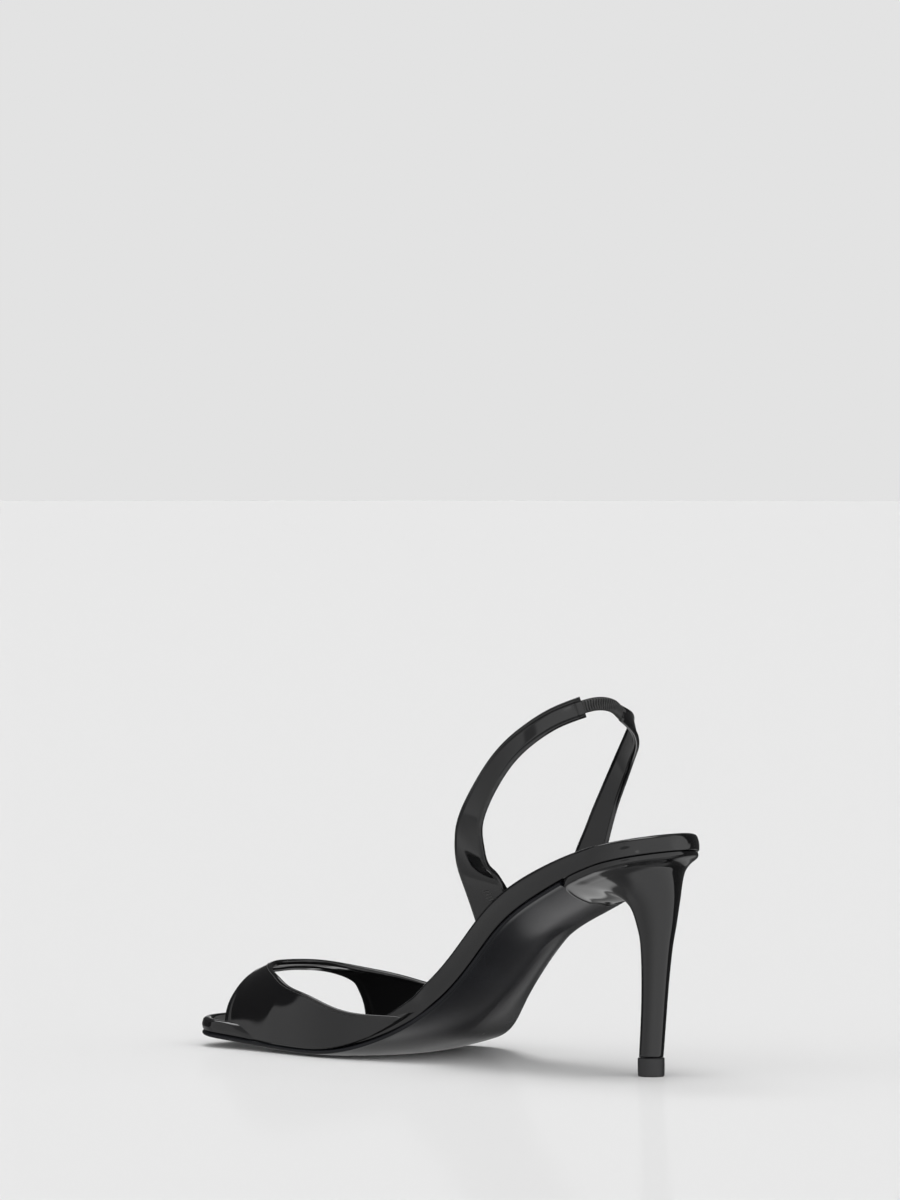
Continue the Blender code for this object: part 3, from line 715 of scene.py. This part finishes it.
def stitchRow(path, normal, shape):
    # stitches as one thread that swells out of the leather and dips back under it once per pitch
    travel = np.concatenate([[0.0], np.cumsum(np.linalg.norm(np.diff(path, axis=0), axis=1))])
    count = int(travel[-1] / shape["pitch"])
    at = np.linspace(0.0, travel[-1], count * shape["perStitch"] + 1)
    phase = (at / travel[-1] * count) % 1.0
    bulge = np.clip(np.sin(np.pi * phase), 0.0, 1.0) ** 0.35
    points = np.stack([np.interp(at, travel, path[:, k]) for k in range(3)], axis=1)
    facing = np.stack([np.interp(at, travel, normal[:, k]) for k in range(3)], axis=1)
    points = points + facing * (shape["lift"] + shape["dip"] * (bulge - 1.0))[:, None]
    return tubeAlong(points, facing, shape["radius"] * (0.45 + 0.55 * bulge), shape["sides"])


def throatStitches():
    # the row runs at its distance from the throat edge, from foot to foot
    degrees = np.linspace(7.0, 173.0, 900)
    throat = splineThrough(vampShape["edges"], 1, degrees)
    point, normal = vampFrame(throat + vampShape["stitchAt"], np.radians(degrees))
    tube = stitchRow(point, normal, stitchShape)
    return rowPlace(tube[..., 0], tube[..., 1], tube[..., 2])


gridPiece("throatStitches", throatStitches(), blackThread)


# the sling: bands carried along their centre lines, each line a table of run, side, up and width
nearBand = {
    "line": [
        (73.6, -17.3, 54.6, 19.6), (76.0, -17.7, 60.4, 19.6), (77.2, -20.4, 66.8, 19.4),
        (76.7, -25.2, 73.8, 18.6), (73.5, -30.4, 81.0, 16.0), (69.6, -34.0, 88.6, 13.0),
        (64.6, -35.2, 96.8, 11.2), (59.3, -33.8, 105.8, 9.8), (53.5, -30.8, 114.2, 8.4),
        (47.3, -26.4, 120.8, 7.7), (41.3, -20.6, 126.0, 7.6), (34.4, -13.4, 129.9, 7.8),
    ],
    "stations": 420, "thick": 1.6, "corner": 0.8,
    "axisSide": 0.0, "straightTo": 106.0,  # above this height the band faces away from the ankle's axis
    # height, place along, lean, width along, middle and width across
    "creases": [(-0.09, 18.0, 0.4, 3.6, -3.0, 5.0), (0.06, 26.0, 0.5, 4.6, -1.0, 6.0),
                (-0.03, 84.0, -0.3, 5.0, 0.0, 500.0), (0.03, 94.0, 0.0, 5.0, 0.0, 500.0)],
    "hem": 0.34, "hemGroove": 0.22,
}
farBand = {
    "line": [
        (62.4, 20.6, 60.8, 17.6), (64.6, 21.0, 65.8, 17.0), (65.1, 22.1, 73.0, 14.4),
        (63.6, 24.0, 81.0, 12.2), (62.3, 26.4, 89.0, 10.8), (60.0, 28.2, 97.0, 9.8),
        (55.7, 28.2, 105.0, 9.6), (49.4, 25.6, 112.4, 9.8), (41.6, 20.4, 118.8, 10.0),
        (35.9, 13.4, 123.6, 8.6), (32.9, 4.6, 127.2, 6.4),
    ],
    "stations": 360, "thick": 1.6, "corner": 0.8,
    "axisSide": -28.0, "straightTo": 90.0,
}
elasticBand = {
    "line": [
        (36.8, -15.9, 128.6, 4.8), (34.2, -13.1, 130.0, 4.8), (31.9, -8.4, 131.0, 4.8),
        (31.2, -4.2, 130.7, 4.8), (31.6, 0.2, 129.4, 4.8), (32.8, 4.3, 127.3, 4.8), (33.6, 6.9, 126.3, 4.8),
    ],
    "stations": 320, "thick": 1.2, "corner": 0.6,
    "axisSide": 0.0, "straightTo": 60.0,
    "pitch": 0.92, "gather": 0.7,
}
ankleRun = 58.0  # run of the ankle's axis
foldShape = {"width": 1.25, "swell": 0.3, "groove": 0.34}  # the straps' folded edges


def bandFrame(band):
    # centre line by splines over its length; the band faces away from the ankle's axis, straight out below
    line = np.array(band["line"], float)
    travel = np.concatenate([[0.0], np.cumsum(np.linalg.norm(np.diff(line[:, :3], axis=0), axis=1))])
    keyed = np.hstack([travel[:, None], line])
    along = np.linspace(0.0, travel[-1], band["stations"])
    path = np.stack([splineThrough(keyed, column, along) for column in (1, 2, 3)], axis=1)
    width = splineThrough(keyed, 4, along)
    tangent = np.gradient(path, axis=0)
    tangent /= np.linalg.norm(tangent, axis=1)[:, None]
    away = path - np.array([ankleRun, band["axisSide"], 0.0])
    away[:, 2] = 0.0
    away /= np.linalg.norm(away, axis=1)[:, None]
    low = (1.0 - easeBetween(band["straightTo"] - 24.0, band["straightTo"], path[:, 2]))[:, None]
    straight = np.sign(path[:, 1])[:, None] * np.array([0.0, 1.0, 0.0])
    away = low * straight + (1.0 - low) * away
    away -= (away * tangent).sum(axis=1)[:, None] * tangent
    away /= np.linalg.norm(away, axis=1)[:, None]
    return along, path, away, np.cross(tangent, away), width


def bandGrid(band, reliefOut, reliefIn):
    # section: a flat face out, a round edge, a flat face in, a round edge
    # each face is moved along its normal by its relief, a function of the length and the place across
    along, path, away, across, width = bandFrame(band)
    half = 0.5 * width[:, None]
    deep, corner = 0.5 * band["thick"], band["corner"]
    fine = np.array([0.0, 0.2, 0.34, 0.46, 0.56, 0.66, 0.78, 0.95, 1.3, 1.8])[None]
    turn = np.linspace(0.0, np.pi, 9)[None, 1:-1]
    inner = half - corner
    middle = (inner - fine.max()) * np.linspace(-1.0, 1.0, 9)[None, 1:-1]
    faceU = np.concatenate([fine - inner, middle, (inner - fine)[:, ::-1]], axis=1)
    edgeU, edgeV = inner + corner * np.sin(turn), deep * np.cos(turn) + 0.0 * half
    outV = deep + reliefOut(along[:, None], faceU, half)
    inV = -deep - reliefIn(along[:, None], faceU, half)
    u = np.concatenate([faceU, edgeU, -faceU, -edgeU], axis=1)
    v = np.concatenate([outV, edgeV, inV, -edgeV], axis=1)
    points = path[:, None] + u[..., None] * across[:, None] + v[..., None] * away[:, None]
    wear = np.concatenate([0.0 * faceU, 1.0 + 0.0 * edgeU, 0.0 * faceU, 1.0 + 0.0 * edgeU], axis=1)
    ends = [points[k:k + 1].mean(axis=1, keepdims=True) + 0.0 * points[:1] for k in (0, len(points) - 1)]
    points = np.concatenate([ends[0], points, ends[1]])
    wear = np.concatenate([wear[:1], wear, wear[-1:]])
    return rowPlace(points[..., 0], points[..., 1], points[..., 2]), wear


def foldedEdges(along, u, half):
    # a turned edge: a little proud of the face, then a fine groove where it ends
    fold = foldShape
    fromEdge = half - np.abs(u)
    proud = fold["swell"] * (1.0 - easeBetween(fold["width"] - 0.25, fold["width"] + 0.15, fromEdge))
    return proud - fold["groove"] * softTrough(fromEdge, fold["width"] + 0.12, 0.17)


def nearRelief(along, u, half):
    # folded edges, soft creases where the band leaves the sole and bends, and a hem at its end
    relief = foldedEdges(along, u, half)
    for height, at, lean, width, middle, wide in nearBand["creases"]:
        relief = relief + height * softTrough(along, at + lean * u, width) * softTrough(u, middle, wide)
    fromEnd = along[-1:] - along
    hem = nearBand["hem"] * (1.0 - easeBetween(2.0, 2.5, fromEnd))
    return relief + hem - nearBand["hemGroove"] * softTrough(fromEnd, 2.9, 0.3)


nearPoints, nearWear = bandGrid(nearBand, nearRelief, foldedEdges)
gridPiece("slingNear", nearPoints, patentSling, "strap_near", nearWear)
farPoints, farWear = bandGrid(farBand, foldedEdges, foldedEdges)
gridPiece("slingFar", farPoints, patentSling, "strap_far", farWear)

ladderShape = {
    "from": 4.6, "step": 1.25, "count": 5,
    "across": -1.6, "drift": 0.25,  # place of the first thread's middle, and how far each next one moves over
    "long": 3.4, "radius": 0.26, "sunk": 0.12, "bow": 0.3,
}


def ladderStitches(shape):
    # short threads across the band, one above another: each bows out by the root of a cosine
    along, path, away, across, width = bandFrame(nearBand)
    reach = np.linspace(-0.5, 0.5, 15)
    bow = 0.5 * nearBand["thick"] - shape["sunk"] + shape["bow"] * np.cos(np.pi * reach) ** 0.5
    thin = shape["radius"] * np.cos(0.9 * np.pi * reach) ** 0.3
    rungs = []
    for k in range(shape["count"]):
        at = shape["from"] + shape["step"] * k
        spot, out, over = (np.array([np.interp(at, along, way[:, i]) for i in range(3)])
                           for way in (path, away, across))
        sideways = shape["across"] + shape["drift"] * k + shape["long"] * reach
        line = spot + sideways[:, None] * over + bow[:, None] * out
        tube = tubeAlong(line, out + 0.0 * line, thin, 10)
        rungs.append(rowPlace(tube[..., 0], tube[..., 1], tube[..., 2]))
    return rungs


for number, rung in enumerate(ladderStitches(ladderShape)):
    gridPiece("ladderStitch" + str(number), rung, ladderThread)


def gatherRelief(along, u, half):
    # gathers across the band: close ridges that wander and split, fading toward the far strap
    wander = 0.5 * np.sin(0.9 * u + 1.3) + 0.35 * np.sin(2.1 * u - 0.6 * along)
    ridge = np.abs(np.sin(np.pi * (along + 0.3 * wander) / elasticBand["pitch"])) ** 0.8
    strength = 0.35 + 0.65 * (1.0 - easeBetween(15.0, 21.0, along))
    # flat inside both straps
    shown = easeBetween(4.0, 4.8, along) * easeBetween(2.6, 3.4, along[-1:] - along)
    return shown * (elasticBand["gather"] * strength * ridge - 0.2 * softTrough(u, 0.0, 0.5))


def elasticFinish(name):
    # black elastic webbing: ribbed weave across and along, matte; its colour carries a painted shade, near
    # black in the gathers' valleys and lighter on their ridges
    material, nodes, links, shader, where = finishNodes(name, (0.02, 0.02, 0.02), 0.6)
    weave = nodes.new("ShaderNodeTexWave")
    weave.inputs["Scale"].default_value = 1100.0
    weave.inputs["Distortion"].default_value = 0.8
    links.new(where.outputs["UV"], weave.inputs["Vector"])
    lint = noiseFrom(nodes, links, where.outputs["Object"], 1500.0, 3.0)
    ridges = nodes.new("ShaderNodeAttribute")
    ridges.attribute_name = "edgeWearAndGatherShade"
    lintShade = rampBetween(nodes, links, lint, 0.3, 0.7, 0.5, 1.0)
    lit = mathNode(nodes, links, "MULTIPLY", ridges.outputs["Fac"], lintShade)
    # painted shade: near black in the gathers' valleys, lighter on their ridges, flecked by the lint noise
    colour = mixColour(nodes, links, lit, (0.005, 0.005, 0.005), (0.075, 0.075, 0.075))
    links.new(colour, shader.inputs["Base Color"])
    links.new(rampBetween(nodes, links, lint, 0.3, 0.7, 0.5, 0.7), shader.inputs["Roughness"])
    stackBumps(nodes, links, shader, [(weave.outputs["Fac"], 0.6, 0.00008), (lint, 0.3, 0.00005)])
    return material


gatherPoints, gatherPaintedShade = bandGrid(elasticBand, gatherRelief, gatherRelief)
gatherAlong = bandFrame(elasticBand)[0]
gatherAlong = np.concatenate([gatherAlong[:1], gatherAlong, gatherAlong[-1:]])[:, None]
# the gathers' ridge pattern kept as a painted shade for the elastic's colour: 0 in the valleys, 1 on the
# ridges
gatherPaintedShade = np.abs(np.sin(np.pi * gatherAlong / elasticBand["pitch"])) ** 0.8 + 0.0 * gatherPaintedShade
gridPiece("gatheredElastic", gatherPoints, elasticFinish("elasticWebbing"), "elastic", gatherPaintedShade)


# floor, world and camera
floorLook = {"size": 120.0, "grey": 0.80, "mirror": 0.06, "mirrorRough": 0.08}
floorMesh = bpy.data.meshes.new("studioFloor")
reach = floorLook["size"]
corners = [(-reach, -reach, 0), (reach, -reach, 0), (reach, reach, 0), (-reach, reach, 0)]
floorMesh.from_pydata(corners, [], [(0, 1, 2, 3)])
floor = bpy.data.objects.new("studioFloor", floorMesh)
bpy.context.scene.collection.objects.link(floor)
floorPaint, floorNodes, floorLinks, floorShader, floorPlace = finishNodes(
    "paleFloor", (floorLook["grey"],) * 3, 0.6, 0.0, specular=0.0)
floorGloss = floorNodes.new("ShaderNodeBsdfGlossy")
floorGloss.inputs["Roughness"].default_value = floorLook["mirrorRough"]
floorBlend = floorNodes.new("ShaderNodeMixShader")
floorBlend.inputs["Fac"].default_value = floorLook["mirror"]
floorLinks.new(floorShader.outputs["BSDF"], floorBlend.inputs[1])
floorLinks.new(floorGloss.outputs["BSDF"], floorBlend.inputs[2])
floorLinks.new(floorBlend.outputs["Shader"], floorNodes["Material Output"].inputs["Surface"])
floorMesh.materials.append(floorPaint)
floor.visible_glossy = False  # the lacquer mirrors the studio's own lower half, set in the world below

# a tent of light round the shoe: azimuth 0 is the front, positive to the right as the photograph shows it
# angles are in degrees, a pair of them is where a soft edge starts and ends
studio = {
    "frontAt": 45.5,
    "front": 1.15, "left": 0.62, "frontFrom": (-95.0, 10.0),
    "dark": 0.07, "tentLeft": (-105.0, -103.8), "tentRight": (96.0, 99.0),
    "leanHigh": 6.0, "leanHighFrom": (9.0, 24.0),  # the tent's left edge lies this much further back high up
    "leanLow": 3.4, "leanLowTo": (-4.0, 12.0),  # and this much low down
    "top": 0.34, "topFrom": (38.0, 55.0),
    "zenith": 3.5, "zenithFrom": (72.0, 76.0),
    "table": 0.38, "tableEdge": -7.0, "tableSoft": (-5.0, 3.0), "tableDeep": (-75.0, -45.0),
    "rightTable": 0.418, "rightEdge": -46.0, "rightFrom": (92.0, 100.0), "rightTo": (166.0, 178.0),
    "strip": 3.2, "stripAt": -162.0, "stripWide": (24.0, 30.0), "stripUp": 52.0, "stripHigh": (7.0, 11.0),
    # round lamps, flags and the glow of the table behind: azimuth, elevation, radius, level
    "spots": [(-22.0, 17.0, 8.0, 0.45), (2.0, -6.0, 3.0, 2.0), (156.0, -28.0, 10.0, 0.4),
              (190.0, -60.0, 15.0, 1.9)],
    "spotEdge": (0.7, 1.2),  # shares of a spot's radius between which it fades
    "backdrop": 0.768, "backdropEdge": (7.0, 12.0),
    "lamp": 0.68, "lampAngle": 120.0, "lampTurn": (12.0, -8.0),
}


def directionTo(at, up):
    # unit vector from azimuth and elevation in radians
    return math.cos(up) * math.cos(at), math.cos(up) * math.sin(at), math.sin(up)


def buildStudio(look):
    # radiance by direction: each form is blended over those before it by a mask with soft edges
    world = bpy.data.worlds.new("softStudio")
    bpy.context.scene.world = world
    world.use_nodes = True
    nodes, links = world.node_tree.nodes, world.node_tree.links
    where = nodes.new("ShaderNodeTexCoord")
    turned = nodes.new("ShaderNodeMapping")
    turned.vector_type = "POINT"
    turned.inputs["Rotation"].default_value = (0.0, 0.0, math.radians(look["frontAt"]))
    links.new(where.outputs["Generated"], turned.inputs["Vector"])
    split = nodes.new("ShaderNodeSeparateXYZ")
    links.new(turned.outputs["Vector"], split.inputs["Vector"])

    def call(operation, first, second=None):
        return mathNode(nodes, links, operation, first, second)

    def inside(value, edge):
        # 0 below the edge's start, 1 above its end, smooth between
        span = nodes.new("ShaderNodeMapRange")
        span.interpolation_type = "SMOOTHSTEP"
        span.inputs["From Min"].default_value, span.inputs["From Max"].default_value = edge
        links.new(value, span.inputs["Value"])
        return span.outputs["Result"]

    def outside(value, edge):
        return call("SUBTRACT", 1.0, inside(value, edge))

    def blend(mask, first, second):
        # first where the mask is 0, second where it is 1
        kept = call("MULTIPLY", call("SUBTRACT", 1.0, mask), first)
        return call("ADD", kept, call("MULTIPLY", mask, second))

    def farFrom(value, middle):
        return call("ABSOLUTE", call("SUBTRACT", value, middle))

    around = call("MULTIPLY", call("ARCTAN2", split.outputs["Y"], split.outputs["X"]), 180.0 / math.pi)
    high = call("MULTIPLY", call("ARCSINE", split.outputs["Z"]), 180.0 / math.pi)
    # the tent: soft front and left, dark beyond its two edges
    front = blend(inside(around, look["frontFrom"]), look["left"], look["front"])
    lean = call("MULTIPLY", inside(high, look["leanHighFrom"]), look["leanHigh"])
    lean = call("ADD", lean, call("MULTIPLY", outside(high, look["leanLowTo"]), look["leanLow"]))
    opened = call("MULTIPLY", inside(call("ADD", around, lean), look["tentLeft"]),
                  outside(around, look["tentRight"]))
    level = blend(opened, look["dark"], front)
    # overhead cloth and the lamp above it
    level = blend(inside(high, look["topFrom"]), level, look["top"])
    level = blend(inside(high, look["zenithFrom"]), level, look["zenith"])
    # the table: pale to the left and below, its edge much lower on the right
    onRight = call("MULTIPLY", inside(around, look["rightFrom"]), outside(around, look["rightTo"]))
    edge = blend(onRight, look["tableEdge"], look["rightEdge"])
    table = blend(onRight, look["table"], look["rightTable"])
    table = blend(opened, table, blend(inside(high, look["tableDeep"]), look["table"], front))
    level = blend(outside(call("SUBTRACT", high, edge), look["tableSoft"]), level, table)
    # a strip light behind on the left
    strip = call("MULTIPLY", outside(farFrom(around, look["stripAt"]), look["stripWide"]),
                 outside(farFrom(high, look["stripUp"]), look["stripHigh"]))
    level = blend(strip, level, look["strip"])
    for at, up, wide, strength in look["spots"]:
        near = nodes.new("ShaderNodeVectorMath")
        near.operation = "DOT_PRODUCT"
        near.inputs[1].default_value = directionTo(math.radians(at), math.radians(up))
        links.new(turned.outputs["Vector"], near.inputs[0])
        inner, outer = (math.cos(math.radians(share * wide)) for share in look["spotEdge"])
        level = blend(inside(near.outputs["Value"], (outer, inner)), level, strength)
    # the plain backdrop straight behind
    behind = call("SUBTRACT", 180.0, call("ABSOLUTE", around))
    drop = call("MULTIPLY", outside(behind, look["backdropEdge"]),
                outside(call("ABSOLUTE", high), look["backdropEdge"]))
    level = blend(drop, level, look["backdrop"])
    links.new(level, nodes["Background"].inputs["Strength"])
    nodes["Background"].inputs["Color"].default_value = (1.0, 1.0, 1.0, 1.0)
    lamp = bpy.data.lights.new("overheadSoft", "SUN")
    lamp.energy = look["lamp"]
    lamp.angle = math.radians(look["lampAngle"])
    lampPiece = bpy.data.objects.new("overheadSoft", lamp)
    bpy.context.scene.collection.objects.link(lampPiece)
    lampPiece.rotation_euler = (*(math.radians(turn) for turn in look["lampTurn"]), 0.0)
    lampPiece.visible_glossy = False


buildStudio(studio)

cameraView = {
    "turn": 44.5,  # degrees from the shoe's broadside toward its back
    "tilt": 0.945,  # degrees down
    "distance": 2346.0,
    "slide": 9.5,
    "aimRun": 100.0,
    "aimUp": 166.7,
    "lensPixels": 6500.0,
    "imageHeight": 1200.0,
}


def placeCamera(view):
    # back from the aim point along the line of sight, and a little sideways
    turn, tilt = math.radians(view["turn"]), math.radians(view["tilt"])
    sight = np.array([math.sin(turn) * math.cos(tilt), math.cos(turn) * math.cos(tilt), -math.sin(tilt)])
    right = np.array([-math.cos(turn), math.sin(turn), 0.0])
    spot = np.array([view["aimRun"], 0.0, view["aimUp"]]) - view["distance"] * sight - view["slide"] * right
    data = bpy.data.cameras.new("photoCamera")
    data.sensor_width = 36.0
    data.lens = view["lensPixels"] / view["imageHeight"] * data.sensor_width
    data.clip_start = 0.05
    data.clip_end = 400.0
    camera = bpy.data.objects.new("photoCamera", data)
    bpy.context.scene.collection.objects.link(camera)
    camera.location = rowPlace(*spot)
    camera.rotation_euler = (math.radians(90.0) - tilt, 0.0, turn)
    bpy.context.scene.camera = camera


placeCamera(cameraView)
bpy.context.scene.view_settings.view_transform = "Standard"
print("studio ready")

bpy.context.view_layer.update()
